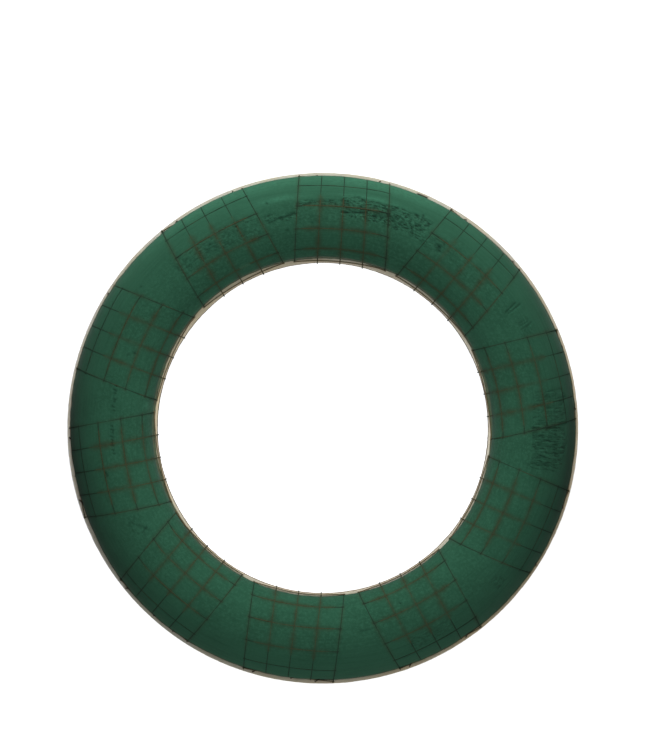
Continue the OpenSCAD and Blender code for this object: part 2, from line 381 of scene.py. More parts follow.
class Shader:
    """A material with a Principled shader and short ways to add nodes to it."""

    def __init__(self, name, roughness=0.8, metallic=0.0, specular=0.5):
        self.material = bpy.data.materials.new(name)
        self.material.use_nodes = True
        self.tree = self.material.node_tree
        self.surface = self.tree.nodes["Principled BSDF"]
        self.surface.inputs["Roughness"].default_value = roughness
        self.surface.inputs["Metallic"].default_value = metallic
        self.surface.inputs["Specular IOR Level"].default_value = specular
        self.place = self.tree.nodes.new("ShaderNodeTexCoord").outputs["Object"]

    def link(self, source, target):
        if hasattr(source, "is_output"):
            self.tree.links.new(source, target)
        else:
            target.default_value = source

    def value(self, name):
        node = self.tree.nodes.new("ShaderNodeAttribute")
        node.attribute_name = name
        return node.outputs["Fac"]

    def scaled(self, factors):
        node = self.tree.nodes.new("ShaderNodeMapping")
        node.inputs["Scale"].default_value = factors
        self.link(self.place, node.inputs["Vector"])
        return node.outputs["Vector"]

    def vector(self, first, second, factors=(1, 1)):
        """A vector for textures. From two values, they are its X and Y; from a vector and a value,
        the value is its Z."""
        if first.type == "VECTOR":
            node = self.tree.nodes.new("ShaderNodeSeparateXYZ")
            self.link(first, node.inputs[0])
            parts = [node.outputs[0], node.outputs[1], second]
        else:
            parts = [self.maths("MULTIPLY", *pair) for pair in zip((first, second), factors)] + [0.0]
        joined_up = self.tree.nodes.new("ShaderNodeCombineXYZ")
        for part, target in zip(parts, joined_up.inputs):
            self.link(part, target)
        return joined_up.outputs[0]

    def noise(self, size, detail=3.0, rough=0.55, vector=None):
        """Noise whose features are about size metres across."""
        node = self.tree.nodes.new("ShaderNodeTexNoise")
        node.inputs["Scale"].default_value = 1 / size
        node.inputs["Detail"].default_value = detail
        node.inputs["Roughness"].default_value = rough
        self.link(vector or self.place, node.inputs["Vector"])
        return node.outputs["Fac"]

    def pores(self, size, vector=None):
        node = self.tree.nodes.new("ShaderNodeTexVoronoi")
        node.inputs["Scale"].default_value = 1 / size
        self.link(vector or self.place, node.inputs["Vector"])
        return node.outputs["Distance"]

    def ramp(self, source, low, high, to_low=0.0, to_high=1.0):
        node = self.tree.nodes.new("ShaderNodeMapRange")
        node.interpolation_type = "SMOOTHSTEP"
        for name, number in (("From Min", low), ("From Max", high), ("To Min", to_low), ("To Max", to_high)):
            node.inputs[name].default_value = number
        self.link(source, node.inputs["Value"])
        return node.outputs["Result"]

    def maths(self, operation, a, b):
        node = self.tree.nodes.new("ShaderNodeMath")
        node.operation = operation
        self.link(a, node.inputs[0])
        self.link(b, node.inputs[1])
        return node.outputs[0]

    def mix(self, factor, a, b, blend="MIX"):
        node = self.tree.nodes.new("ShaderNodeMix")
        node.data_type = "RGBA"
        node.blend_type = blend
        self.link(factor, node.inputs["Factor"])
        self.link(a, node.inputs[6])
        self.link(b, node.inputs[7])
        return node.outputs[2]

    def colour(self, source):
        self.link(source, self.surface.inputs["Base Color"])

    def roughness(self, source):
        self.link(source, self.surface.inputs["Roughness"])

    def bump(self, height, distance, strength=1.0):
        node = self.tree.nodes.new("ShaderNodeBump")
        node.inputs["Distance"].default_value = distance
        node.inputs["Strength"].default_value = strength
        self.link(height, node.inputs["Height"])
        self.link(node.outputs["Normal"], self.surface.inputs["Normal"])


SKIN_GRAIN = 0.3            # contrast of the foam's grain on the outer flank
CREST_GRAIN = 1.6           # and from the crest inwards


def foam_material():
    sh = Shader("foam_green", roughness=0.95, specular=0.1)
    sh.surface.inputs["Sheen Weight"].default_value = 0.1
    sh.surface.inputs["Sheen Roughness"].default_value = 0.5
    broad = sh.noise(0.045, 2)
    streak = sh.noise(0.0016, 3, 0.6, sh.vector(sh.scaled((0.03, 0.03, 0)), sh.value("over")))
    grain = sh.noise(0.003, 5, 0.7)
    fine = sh.noise(0.0007, 2, 0.6)
    base = sh.mix(sh.ramp(broad, 0.3, 0.7), linear(42, 88, 66), linear(46, 95, 72))
    # The outer flank kept its smooth skin; from the crest inwards the foam is grainier
    coarse = sh.ramp(sh.value("over"), 0.03, 0.07, SKIN_GRAIN, CREST_GRAIN)
    speckle = sh.maths("MULTIPLY", sh.maths("SUBTRACT", sh.ramp(grain, 0.35, 0.75), 0.4), coarse)
    base = sh.mix(sh.maths("ADD", speckle, 0.4), base, linear(52, 103, 79))
    base = sh.mix(sh.ramp(streak, 0.45, 0.75, 0.0, 0.3), base, linear(28, 70, 52))
    holes = sh.maths("MULTIPLY", sh.ramp(fine, 0.62, 0.8, 0.0, 0.35), coarse)
    base = sh.mix(holes, base, linear(24, 60, 45))
    # Lighter foam: rubbed spots and light scratches, with painted highlight on raised crumbs and painted
    # light on the feet and top outer flank
    base = sh.mix(sh.value("light"), base, linear(66, 128, 100))
    # Painted shade in the hollows of pits, scratches and torn ground
    base = sh.mix(sh.value("hollow_shade"), base, linear(16, 44, 32))
    crumb = sh.noise(0.0024, 5, 0.7, sh.vector(sh.value("round"), sh.value("over"), (0.5, 1.4)))
    # Painted shade in the torn ground's sunk crumbs and painted highlight on its raised chips
    torn = sh.maths("MULTIPLY", sh.value("torn"), sh.ramp(crumb, 0.5, 0.64, 0.0, 0.95))
    base = sh.mix(torn, base, linear(16, 42, 30))
    chip_highlight = sh.maths("MULTIPLY", sh.value("torn"), sh.ramp(crumb, 0.46, 0.34, 0.0, 0.7))
    base = sh.mix(chip_highlight, base, linear(62, 120, 94))
    comb = sh.noise(0.0022, 4, 0.65, sh.vector(sh.value("round"), sh.value("over"), (1.1, 0.25)))
    # Painted shade in the ridged ground's furrows and painted highlight on its crests
    groove_shade = sh.maths("MULTIPLY", sh.value("ridged"), sh.ramp(comb, 0.5, 0.62, 0.0, 0.7))
    base = sh.mix(groove_shade, base, linear(18, 46, 34))
    crest_highlight = sh.maths("MULTIPLY", sh.value("ridged"), sh.ramp(comb, 0.44, 0.34, 0.0, 0.5))
    base = sh.mix(crest_highlight, base, linear(58, 112, 88))
    base = sh.mix(sh.value("stain"), base, linear(57, 58, 37))
    base = sh.mix(sh.value("rust"), base, linear(56, 50, 33))
    sh.colour(base)
    height = sh.maths("ADD", sh.maths("MULTIPLY", grain, 0.7), sh.maths("MULTIPLY", sh.pores(0.0011), 0.3))
    height = sh.maths("MULTIPLY", height, coarse)
    for rough, where in ((crumb, "torn"), (comb, "ridged")):
        relief = sh.maths("MULTIPLY", sh.maths("SUBTRACT", rough, 0.5), 4.0)
        height = sh.maths("SUBTRACT", height, sh.maths("MULTIPLY", relief, sh.value(where)))
    height = sh.maths("SUBTRACT", height, sh.maths("MULTIPLY", streak, 0.5))
    sh.bump(height, 0.0006, 0.6)
    return sh.material


def wire_material():
    sh = Shader("rusty_wire", roughness=0.8, metallic=0.1, specular=0.2)
    patchy = sh.noise(0.011, 3)
    fine = sh.noise(0.0013, 3)
    rusted = sh.ramp(sh.maths("ADD", sh.value("rust"), sh.maths("MULTIPLY", patchy, 0.6)), 0.45, 1.0)
    base = sh.mix(rusted, linear(34, 59, 44), linear(68, 72, 47))
    base = sh.mix(sh.maths("MULTIPLY", sh.ramp(fine, 0.5, 0.7), 0.5), base, linear(24, 36, 27))
    # Painted light: wire lying on the board drawn paler and browner, against the shade beside the foam
    base = sh.mix(sh.value("painted_light"), base, linear(142, 124, 92))
    sh.colour(base)
    sh.roughness(sh.ramp(fine, 0.3, 0.7, 0.65, 0.9))
    sh.bump(fine, 0.0002, 0.6)
    return sh.material


def board_material():
    sh = Shader("painted_fibreboard", roughness=0.75, specular=0.3)
    broad = sh.noise(0.05, 3)
    speck = sh.noise(0.0016, 4, 0.65)
    fibre = sh.noise(0.004, 4, 0.6, sh.scaled((1, 1, 6)))
    base = sh.mix(sh.ramp(broad, 0.35, 0.65), linear(252, 248, 236), linear(246, 238, 218))
    base = sh.mix(sh.value("aged"), base, linear(246, 228, 190))
    base = sh.mix(sh.maths("MULTIPLY", sh.ramp(speck, 0.58, 0.74), 0.35), base, linear(176, 156, 124))
    base = sh.mix(sh.maths("MULTIPLY", sh.ramp(fibre, 0.5, 0.8), 0.3), base, linear(200, 180, 148))
    raw = sh.mix(sh.ramp(speck, 0.4, 0.7), linear(152, 133, 106), linear(112, 95, 72))
    base = sh.mix(sh.value("wall"), base, sh.mix(sh.ramp(fibre, 0.45, 0.7), raw, linear(164, 146, 118)))
    # Painted shade on the board beside the foam's foot
    base = sh.mix(sh.value("foot_shade"), base, linear(110, 98, 76))
    base = sh.mix(sh.maths("MULTIPLY", sh.value("torn"), sh.ramp(speck, 0.3, 0.5)), base, linear(36, 28, 20))
    sh.colour(base)
    sh.bump(sh.maths("ADD", speck, fibre), 0.0003, 0.5)
    return sh.material


def glue_material():
    sh = Shader("dried_glue", roughness=0.45, specular=0.5)
    patchy = sh.noise(0.006, 3)
    base = sh.mix(sh.ramp(patchy, 0.35, 0.7), linear(72, 96, 62), linear(70, 78, 48))
    sh.colour(base)
    sh.bump(sh.noise(0.002, 3), 0.0004, 0.6)
    return sh.material


def staple_material():
    sh = Shader("staple_steel", roughness=0.5, metallic=0.25)
    patchy = sh.noise(0.004, 3)
    base = sh.mix(sh.ramp(patchy, 0.45, 0.6), linear(84, 72, 56), linear(60, 46, 33))
    sh.colour(base)
    sh.roughness(sh.ramp(patchy, 0.4, 0.65, 0.35, 0.75))
    sh.bump(sh.noise(0.0008, 2), 0.0001, 0.5)
    return sh.material


# ---- foam ----------------------------------------------------------------------------------------

FOAM_ROUND = 1440
FOAM_ACROSS = 108

FURROW = 0.12
RUST_SPOT = [0, 0.1, 0.4, 0.5, 0.45]

# Pits: clockwise angle, distance from the foam's centre, width, depth
PITS = [
    (25.6, 260.2, 2.0, 1.3), (20.0, 245.4, 2.6, 1.6), (19.1, 240.9, 2.6, 1.6), (14.1, 239.8, 2.6, 1.4),
    (33.7, 234.3, 2.4, 1.5), (33.0, 237.6, 2.8, 1.7), (346.2, 254.9, 1.8, 1.1), (349.9, 221.1, 1.8, 1.0),
    (345.1, 217.8, 1.5, 0.8), (357.1, 226.5, 1.6, 0.9), (336.9, 240.7, 2.0, 1.2), (336.6, 237.0, 1.6, 1.0),
    (156.2, 212.8, 1.6, 1.3), (240.0, 226.4, 1.7, 0.9), (291.5, 223.1, 2.0, 1.1), (290.5, 229.6, 1.8, 1.0),
    (307.7, 254.2, 1.4, 1.0), (196.4, 229.7, 2.6, 0.25), (192.7, 234.1, 2.6, 0.25), (204.7, 235.2, 2.2, 0.3),
]
# Scratches: from clockwise angle and distance to clockwise angle and distance, width, depth
SCRATCHES = [
    (326.9, 239.2, 329.8, 235.1, 1.0, 0.5), (326.6, 234.9, 329.9, 231.7, 1.0, 0.5),
    (326.3, 231.5, 329.1, 228.5, 0.9, 0.4), (332.8, 199.0, 336.0, 198.5, 1.2, -0.3),
    (57.9, 239.0, 57.2, 254.2, 0.9, 0.7), (58.5, 240.8, 58.1, 258.0, 0.8, 0.6),
    (62.1, 246.7, 62.1, 252.5, 0.8, 0.5), (62.9, 245.6, 62.7, 255.0, 0.8, 0.5),
    (63.8, 244.9, 63.6, 254.2, 0.8, 0.5), (64.5, 247.2, 63.3, 258.6, 0.8, 0.5),
    (165.3, 228.8, 169.3, 228.9, 0.9, 0.5), (242.1, 230.3, 238.8, 221.3, 0.9, 0.5),
    (239.7, 229.2, 240.4, 222.8, 0.9, 0.6), (243.6, 237.1, 242.2, 231.3, 0.9, 0.4),
    (5.9, 238.8, 11.6, 242.0, 1.3, 0.9), (13.7, 241.0, 17.9, 243.4, 1.2, 0.8),
    (257.2, 243.5, 258.1, 245.0, 1.4, 0.8), (345.2, 233.0, 349.0, 236.2, 1.0, 0.7),
    (348.5, 234.8, 352.8, 238.4, 1.0, 0.8),
]
# A row of short dents along the crest: clockwise angle, distances from and to
DENTS = [
    (262.7, 231.0, 232.4), (263.6, 231.6, 233.0), (264.9, 231.4, 234.0), (265.6, 232.6, 233.6),
    (266.4, 231.9, 232.9), (267.3, 231.2, 234.2), (268.4, 231.0, 232.0), (269.1, 230.6, 233.2),
    (270.2, 231.8, 232.6), (274.4, 230.2, 231.2), (275.5, 231.4, 233.6), (276.9, 231.0, 232.2),
    (277.6, 230.4, 232.8), (279.1, 231.2, 232.0), (280.0, 231.0, 234.0), (281.2, 231.6, 232.6),
]
SCRATCHES += [(angle, low, angle + 0.3, high, 0.8, 0.9) for angle, low, high in DENTS]
# Crumbled ground: clockwise angles from and to, distances from and to, roughness, edge width
CRUMBLED = [
    (4.8, 28.4, 233.5, 258.0, 0.92, 1.5), (344.5, 353.0, 232.5, 240.5, 0.65, 1.5),
    (353.0, 365.0, 244.0, 251.0, 0.75, 1.5), (28.5, 34.5, 231.0, 247.5, 0.5, 3.0),
    (129.5, 132.5, 252.0, 266.0, 0.4, 3.0),
    (146.5, 158.5, 252.0, 266.0, 0.35, 4.0), (317.0, 343.0, 224.0, 246.0, 0.4, 4.0),
    (353.0, 372.0, 226.0, 243.0, 0.25, 4.0), (36.0, 52.0, 226.0, 250.0, 0.2, 4.0),
    (61.0, 66.0, 243.0, 258.0, 0.3, 3.0), (238.0, 245.0, 222.0, 240.0, 0.25, 3.0),
]
# Ridged ground, torn square to the ring: clockwise angles and distances from and to, depth
RIDGED = [(89.5, 101.0, 233.5, 270.0, 1.0), (80.5, 90.0, 236.0, 270.0, 0.6)]
# Lighter ground, a few freshly rubbed spots and broad painted light on the outer foot and flank at the top
# and on the inner foot at the sides: clockwise angle, distance, half width along and across the ring
RUBBED_AND_LIT = [
    (92.0, 266.0, 4.0, 1.5), (94.2, 265.0, 3.0, 1.5), (331.5, 245.2, 2.2, 1.5), (334.4, 198.8, 6.0, 1.0),
    (13.0, 259.5, 34.0, 3.0), (349.0, 257.5, 26.0, 3.0), (277.0, 197.0, 5.0, 4.0),
    (15.0, 278.0, 100.0, 8.0), (332.0, 278.0, 150.0, 8.0), (62.0, 190.0, 100.0, 6.0),
    (300.0, 190.0, 110.0, 6.0),
]


def window(x, low, high, edge):
    return smooth((x - low) / edge + 0.5) * smooth((high - x) / edge + 0.5)


def from_angle(clockwise, middle):
    """Signed degrees from a clockwise angle."""
    return (clockwise - middle + 180) % 360 - 180


def foam_marks(clockwise, radius, turn, across):
    """Sink in mm of the foam in its pits, scars and torn ground, and where each kind of mark lies, with
    painted shade in the hollows and painted light.
    """
    sunk = np.zeros_like(radius)
    hollow_shade = np.zeros_like(radius)
    light = np.zeros_like(radius)
    torn = np.zeros_like(radius)
    ridged = np.zeros_like(radius)
    crumbs = ring_noise(turn, across, 470, 84, 11)
    small = ring_noise(turn, across, 900, 106, 12)
    for angle, distance, width, depth in PITS:
        along = radians(1) * from_angle(clockwise, angle) * distance
        near = np.exp(-(along ** 2 + (radius - distance) ** 2 * 2) / (0.8 * width) ** 2 * (1 + 0.8 * small))
        sunk += depth * near
        # Painted shade in the pit
        hollow_shade = np.maximum(hollow_shade, 0.45 * min(depth, 1.3) * smooth(near * 1.2))
    for a1, r1, a2, r2, width, depth in SCRATCHES:
        x = radians(1) * from_angle(clockwise, a1) * r1
        y = radius - r1
        ex, ey = radians(1) * from_angle(a2, a1) * r1, r2 - r1
        share = np.clip((x * ex + y * ey) / (ex * ex + ey * ey), 0, 1)
        near = np.exp(-((x - share * ex) ** 2 + (y - share * ey) ** 2) / width ** 2)
        sunk += depth * near
        # A sunk scratch gets painted shade
        if depth > 0:
            hollow_shade = np.maximum(hollow_shade, 0.8 * depth * near)
        else:
            light = np.maximum(light, 0.8 * near)
    for a1, a2, r1, r2, rough, edge in CRUMBLED:
        middle, half = (a1 + a2) / 2, (a2 - a1) / 2
        wobble = 2.0 * ring_noise(turn, across, 160, 4, 13)
        inside = window(from_angle(clockwise, middle), -half, half, 1.2)
        inside = inside * window(radius + wobble, r1, r2, edge)
        clods = 0.65 * crumbs + 0.65 * small
        sunk += inside * rough * (0.35 + 0.8 * clods)
        # Painted shade in the sunk clods and painted highlight on the raised ones
        hollow_shade = np.maximum(hollow_shade, 0.65 * inside * rough * smooth(1.8 * clods))
        light = np.maximum(light, 0.4 * inside * rough * smooth(-1.6 * clods - 0.1))
        torn = np.maximum(torn, inside * rough)
    for a1, a2, r1, r2, depth in RIDGED:
        middle, half = (a1 + a2) / 2, (a2 - a1) / 2
        strips = 0.7 * ring_noise(turn, across, 1150, 16, 14) + 0.3 * ring_noise(turn, across, 500, 9, 16)
        ragged = 4 * ring_noise(turn, across, 420, 2, 15)
        inside = window(from_angle(clockwise, middle), -half, half, 1.5)
        inside = inside * window(radius + ragged, r1, r2, 1.5)
        sunk += inside * depth * (0.35 + 0.7 * strips)
        # Painted shade in the ridged ground's furrows
        hollow_shade = np.maximum(hollow_shade, 0.35 * inside * depth * smooth(1.6 * strips))
        ridged = np.maximum(ridged, inside * depth)
    # Rubbed spots, and painted light where bounced light falls on the feet and the top outer flank
    for angle, distance, half_along, half_across in RUBBED_AND_LIT:
        along = radians(1) * from_angle(clockwise, angle) * distance
        near = np.exp(-(along / half_along) ** 2 - ((radius - distance) / half_across) ** 2)
        light = np.maximum(light, 0.65 * near * (0.7 + 0.4 * small))
    return sunk, {"hollow_shade": hollow_shade, "light": light, "torn": torn, "ridged": ridged}


def wire_marks(x, y, s):
    """How the mesh marks the foam: furrow in mm, stain and rust, from plan place and profile arc."""
    furrow = np.zeros_like(s)
    stain = np.zeros_like(s)
    rust = np.zeros_like(s)
    reach = LONG_WIRES * PITCH * 0.62
    for k in range(PATCHES):
        t = turn_of(k)
        px = x * cos(t) + y * sin(t)
        py = -x * sin(t) + y * cos(t)
        near = np.flatnonzero((px > 0) & (np.abs(py - lateral(k, (LONG_WIRES - 1) / 2)) < reach))
        ny, ns = py[near], s[near]
        f = ((LONG_WIRES - 1) / 2 - (ny + RIDGE_R * sin(radians(LEAN[k]))) / PITCH) / (LONG_WIRES - 1)
        inside = smooth((0.5 + STUB / PITCH / 4 - np.abs(f - 0.5)) * 60 + 0.5)
        arc = first_arc(k, ny)
        for j in range(LONG_WIRES):
            gap = np.abs(ny - lateral(k, j))
            amount = stain_of_long(k, j, ns)
            creep = 2.7 + 1.4 * line_noise(ns, 19, 350 + 10 * k + j)
            band = np.exp(-(gap / (1.3 + creep * amount)) ** 2)
            furrow[near] = np.maximum(furrow[near], FURROW * np.exp(-(gap / 1.2) ** 2))
            stain[near] = np.maximum(stain[near], band * amount)
        for i in range(1, CELLS):
            gap = np.abs(ns - arc - i * PITCH)
            amount = CROSS_STAIN[i] * (1 + 0.25 * line_noise(f * 100, 17, 800 + 10 * k + i))
            amount = amount * (1 - 0.6 * near_ends(f))
            band = np.exp(-(gap / (1.3 + 2.7 * amount)) ** 2) * inside
            furrow[near] = np.maximum(furrow[near], FURROW * np.exp(-(gap / 1.2) ** 2) * inside)
            stain[near] = np.maximum(stain[near], band * amount)
            for j in range(LONG_WIRES):
                spot = np.exp(-((ny - lateral(k, j)) ** 2 + gap ** 2) / 2.2 ** 2)
                rust[near] = np.maximum(rust[near], RUST_SPOT[i] * spot)
    return furrow, stain, rust


def foam_ring(material):
    lift = asin((GLUE_T - 0.3) / FOAM_H)
    turn = np.arange(FOAM_ROUND) / FOAM_ROUND
    t = lift + (pi - 2 * lift) * np.linspace(0, 1, FOAM_ACROSS)
    turn, t = np.meshgrid(turn, t, indexing="ij")
    angle = 2 * pi * turn
    radius, z = ellipse(FOAM_HALF + SWELL, FOAM_H + SWELL, BOARD_T, t)
    x, y = radius * np.cos(angle), radius * np.sin(angle)
    s = np.interp(t, arc_t, arc_s)
    across = s / ARC_LEN
    clockwise = (90 - np.degrees(angle)) % 360
    sunk, marks = foam_marks(clockwise, radius, turn, across)
    flat = [v.ravel() for v in (x, y, s)]
    furrow, stain, rust = [v.reshape(x.shape) for v in wire_marks(*flat)]
    edge = smooth(np.minimum(across, 1 - across) * 40)
    grain = 0.05 * ring_noise(turn, across, 700, 60, 3) + 0.05 * ring_noise(turn, across, 40, 90, 4)
    out = swelling(turn, across) + bulge(turn, s) + (grain - sunk - furrow) * edge
    normal = profile_normal(t, FOAM_HALF, FOAM_H)
    radius = radius + out * normal[..., 0]
    z = z + out * normal[..., 1]
    cx, cy = FOAM_CENTRE
    points = np.stack([radius * np.cos(angle) + cx, radius * np.sin(angle) + cy, z], axis=-1)
    faces = closed_rings(FOAM_ROUND, FOAM_ACROSS)[:, ::-1]
    obj = piece("foam_body", points.reshape(-1, 3), faces, material)
    blotch = 0.8 + 0.15 * ring_noise(turn, across, 140, 14, 21)
    blotch = blotch + 0.25 * ring_noise(turn, across, 420, 40, 22)
    add_values(obj, "stain", np.clip(stain * blotch, 0, 1))
    add_values(obj, "rust", np.clip(rust * blotch, 0, 1))
    for name, values in marks.items():
        add_values(obj, name, np.clip(values, 0, 1))
    add_values(obj, "round", np.radians((clockwise + 180) % 360) * RIDGE_R * MM)
    add_values(obj, "over", s * MM)
    dress(obj, "floral_foam", "foam_ring")
    return obj


# ---- mesh patches --------------------------------------------------------------------------------

WIRE_STEP = 1.6
WIRE_SIDES = 10
CROSS_LIFT = 0.08
CROSS_RUST = [1.0, 0.15, 0.7, 0.9, 0.9, 0.8]


def on_foam(y, s, rise):
    """Points of a patch at lateral places y and arcs s, rise mm off the wires' own surface."""
    t = profile_angle(s)
    n = profile_normal(t)
    radius, z = ellipse(ARC_A, ARC_B, ARC_Z, t)
    radius = radius + rise * n[..., 0]
    x = np.sqrt(radius ** 2 - y * y)
    return np.stack([x, np.broadcast_to(y, radius.shape), z + rise * n[..., 1]], axis=-1)


def long_wire(k, j):
    """Points, faces, rust and painted light of one wire that runs across the foam, tail included."""
    y = lateral(k, j)
    start = first_arc(k, y)
    end = start + CELLS * PITCH
    stop = min(end, ARC_LEN - 1.0)
    s = np.arange(3.0, stop, WIRE_STEP)
    body = on_foam(y, s, sink(k, y, s, depth_of_long(k, j, s)))
    rim = outer_x(k, j / (LONG_WIRES - 1))
    foot = [[rim + STUB, y, ARC_Z], [rim, y, ARC_Z]]
    wall = inner_x(k, y) - WIRE_R
    if 0 < j < LONG_WIRES - 1:
        tail_z = STAPLE_T + GROOVE_GAP + WIRE_R
        corner = [[BEND * (1 - sin(a)), BEND * (1 - cos(a))] for a in np.radians([0, 30, 60, 90])]
        over = [[wall + c[0], y, ARC_Z - c[1]] for c in corner]
        under = [[wall + c[0], y, tail_z + c[1]] for c in corner[::-1]]
        end_points = over + [[wall, y, BOARD_T / 2]] + under + [[wall + WIRE_R + TAIL_LEN, y, tail_z]]
    elif end > ARC_LEN - 1.0:
        last = max(ellipse(ARC_A, ARC_B, ARC_Z, pi)[0] - (end - ARC_LEN), inner_x(k, y) + INNER_KEEP)
        end_points = [[sqrt(last ** 2 - y * y) - STUB * 0.4, y, ARC_Z]]
    else:
        end_points = []
    path = np.concatenate([np.array(p).reshape(-1, 3) for p in (foot, body, end_points) if len(p)])
    rust = np.concatenate([[0.5] * len(foot), rust_of_long(k, j, s), [0.3] * len(end_points)])
    return *tube(to_world(k, path), WIRE_R), np.repeat(rust, WIRE_SIDES), np.zeros(len(path) * WIRE_SIDES)


def cross_wire(k, i):
    """Points, faces, rust and painted light of one wire that runs round the ring."""
    past = STUB / PITCH / (LONG_WIRES - 1)
    f = np.linspace(-past, 1 + past, 64)
    y = lateral(k, f * (LONG_WIRES - 1))
    if i == 0:
        x = outer_x(k, np.clip(f, 0, 1))
        path = np.stack([x, y, np.full_like(x, ARC_Z + WIRE_R)], axis=1)
        # Painted light: the wire on the outer rim is drawn paler against the foam's shade
        painted_light = np.full_like(f, 0.6)
    elif i < CELLS:
        s = first_arc(k, y) + i * PITCH
        path = on_foam(y, s, sink(k, y, s, depth_of_cross(k, i, np.clip(f, 0, 1))) + CROSS_LIFT)
        painted_light = np.zeros_like(f)
    else:
        s = first_arc(k, y) + i * PITCH
        foam_radius, foam_z = ellipse(ARC_A, ARC_B, ARC_Z, profile_angle(s))
        radius = np.where(s > ARC_LEN, RIDGE_R - ARC_A - (s - ARC_LEN), foam_radius)
        x = np.maximum(np.sqrt(radius ** 2 - y * y), inner_x(k, y) + INNER_KEEP)
        bedded = smooth((ARC_LEN + 1.0 - s) / 3)
        path = np.stack([x, y, np.where(s > ARC_LEN, ARC_Z, foam_z) + WIRE_R * (1 - 1.6 * bedded)], axis=1)
        # Painted light on the wire where it leaves the foam for the board
        painted_light = 0.8 * (1 - bedded)
    rust = CROSS_RUST[i] * (1 - 0.9 * near_ends(f)) + 0.3 * line_noise(f * 100, 19, 650 + 10 * k + i)
    marks = [np.repeat(np.clip(values, 0, 1), WIRE_SIDES) for values in (rust, painted_light)]
    return *tube(to_world(k, path), WIRE_R), *marks


def mesh_patch(k, material):
    wires = [long_wire(k, j) for j in range(LONG_WIRES)] + [cross_wire(k, i) for i in range(CELLS + 1)]
    obj = piece("wire_mesh_%02d" % (k + 1), *joined([wire[:2] for wire in wires]), material)
    add_values(obj, "rust", np.concatenate([wire[2] for wire in wires]))
    add_values(obj, "painted_light", np.concatenate([wire[3] for wire in wires]))
    dress(obj, "mesh_wire", "mesh_patch_%02d" % (k + 1))
    return obj


# ---- board, glue and staples ---------------------------------------------------------------------

BOARD_ROUND = 1080
EDGE_BEVEL = 0.6
TOP_RINGS = [0.985, 0.977, 0.969, 0.961, 0.953, 0.94, 0.06, 0.05, 0.04, 0.03, 0.015]


def lathe(profile, count, centre, wobble=None):
    """A ring turned about centre from profile points (radius, z), each with its own ragged edge."""
    turn = np.arange(count) / count
    angle = 2 * pi * turn
    rings = []
    for n, (radius, z) in enumerate(profile):
        r = np.full(count, float(radius))
        h = np.full(count, float(z))
        if wobble:
            r, h = wobble(n, turn, r, h)
        rings.append(np.stack([r * np.cos(angle) + centre[0], r * np.sin(angle) + centre[1], h], axis=1))
    points = np.stack(rings, axis=1).reshape(-1, 3)
    return points, closed_rings(count, len(profile))


